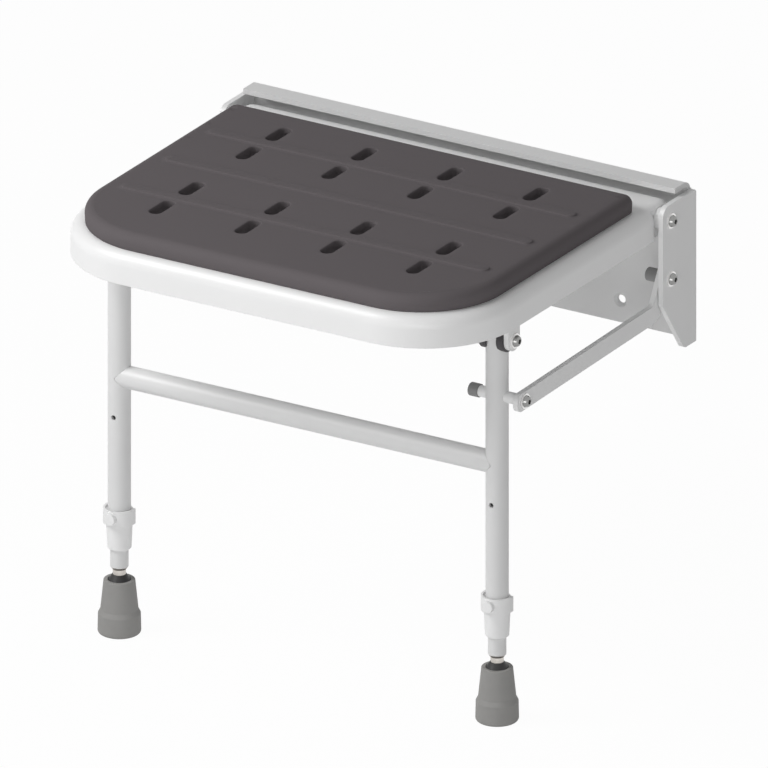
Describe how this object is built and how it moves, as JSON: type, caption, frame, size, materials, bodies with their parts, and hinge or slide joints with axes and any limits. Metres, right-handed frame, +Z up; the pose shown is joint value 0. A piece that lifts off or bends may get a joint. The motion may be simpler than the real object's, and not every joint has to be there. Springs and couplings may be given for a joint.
{
  "type": "fold down wall seat",
  "caption": "Padded seat that folds up against a wall bracket, with legs kept upright by a side link and height adjustable rubber feet.",
  "frame": {"origin": "centre of the rectangle of wall fixing holes, on the back face of the wall plate", "axes": "+X to the right for someone facing the wall, +Y into the wall, +Z up"},
  "size_m": [0.5672, 0.4697, 0.5213],
  "materials": {
    "bracket_paint": "light grey powder coat, satin",
    "leg_paint": "light grey powder coat, satin",
    "seat_plastic": "white moulded plastic, fine satin",
    "white_nylon": "white moulded nylon, satin",
    "pad_foam": "dark grey integral skin foam, satin",
    "dark_plastic": "dark grey moulded plastic, matt",
    "grey_cover": "grey moulded plastic, matt",
    "plated_steel": "bright plated steel",
    "zinc_washer": "dull zinc plate",
    "foot_rubber": "mid grey rubber, matt",
    "core_rubber": "black soft rubber, matt",
    "stub_metal": "turned, satin"
  },
  "bodies": {
    "wall_bracket": {"wall_plate": "bracket_paint", "left_cheek": "bracket_paint", "right_cheek": "bracket_paint", "hinge_bolts": "plated_steel", "hinge_lock_nuts": "zinc_washer", "hinge_spacers": "white_nylon", "link_bolt": "plated_steel", "link_lock_nut": "zinc_washer", "link_nut_cover": "grey_cover", "cheek_washers": "zinc_washer"},
    "seat": {"seat_shell": "seat_plastic", "seat_pad": "pad_foam", "hinge_bushes": "white_nylon", "leg_brackets": "bracket_paint", "bracket_screws": "zinc_washer", "leg_bolts": "plated_steel", "leg_bolt_washers": "zinc_washer", "leg_lock_nuts": "zinc_washer", "leg_nut_covers": "grey_cover"},
    "leg_frame": {"left_leg_tube": "leg_paint", "right_leg_tube": "leg_paint", "crossbar": "leg_paint", "leg_top_plugs": "white_nylon", "leg_bushes": "white_nylon", "saddle_spacers": "dark_plastic", "link_sleeve": "white_nylon", "guide_collars": "white_nylon", "link_end_bolt": "plated_steel", "link_end_washer": "zinc_washer", "link_end_lock_nut": "zinc_washer", "link_end_nut_cover": "grey_cover"},
    "link_arm": {"link": "bracket_paint"},
    "left_foot": {"left_foot_tube": "leg_paint", "left_foot_stub": "stub_metal", "left_ferrule_core": "core_rubber", "left_ferrule": "foot_rubber"},
    "left_clip": {"left_height_clip": "white_nylon"},
    "right_foot": {"right_foot_tube": "leg_paint", "right_foot_stub": "stub_metal", "right_ferrule_core": "core_rubber", "right_ferrule": "foot_rubber"},
    "right_clip": {"right_height_clip": "white_nylon"}
  },
  "joints": [
    {"name": "seat_fold", "type": "hinge", "parent": "wall_bracket", "child": "seat", "pos_m": [0, -0.052, 0.0823], "axis": [-1, 0, 0], "range_deg": [0, 90]},
    {"name": "leg_swing", "type": "hinge", "parent": "seat", "child": "leg_frame", "pos_m": [0, -0.341, 0.0413], "axis": [-1, 0, 0], "range_deg": [-90, 0]},
    {"name": "link_swing", "type": "hinge", "parent": "wall_bracket", "child": "link_arm", "pos_m": [0.2676, -0.052, 0.0153], "axis": [-1, 0, 0], "range_deg": [0, 90]},
    {"name": "left_foot_height", "type": "slide", "parent": "leg_frame", "child": "left_foot", "axis": [0, 0, -1], "range_m": [0, 0.138]},
    {"name": "left_clip_pull", "type": "slide", "parent": "leg_frame", "child": "left_clip", "axis": [0, -1, 0], "range_m": [0, 0.03]},
    {"name": "right_foot_height", "type": "slide", "parent": "leg_frame", "child": "right_foot", "axis": [0, 0, -1], "range_m": [0, 0.138]},
    {"name": "right_clip_pull", "type": "slide", "parent": "leg_frame", "child": "right_clip", "axis": [0, -1, 0], "range_m": [0, 0.03]}
  ],
  "couplings": [
    {"joint": "leg_swing", "follows": "seat_fold", "ratio": -1},
    {"joint": "link_swing", "follows": "seat_fold", "ratio": 1}
  ]
}
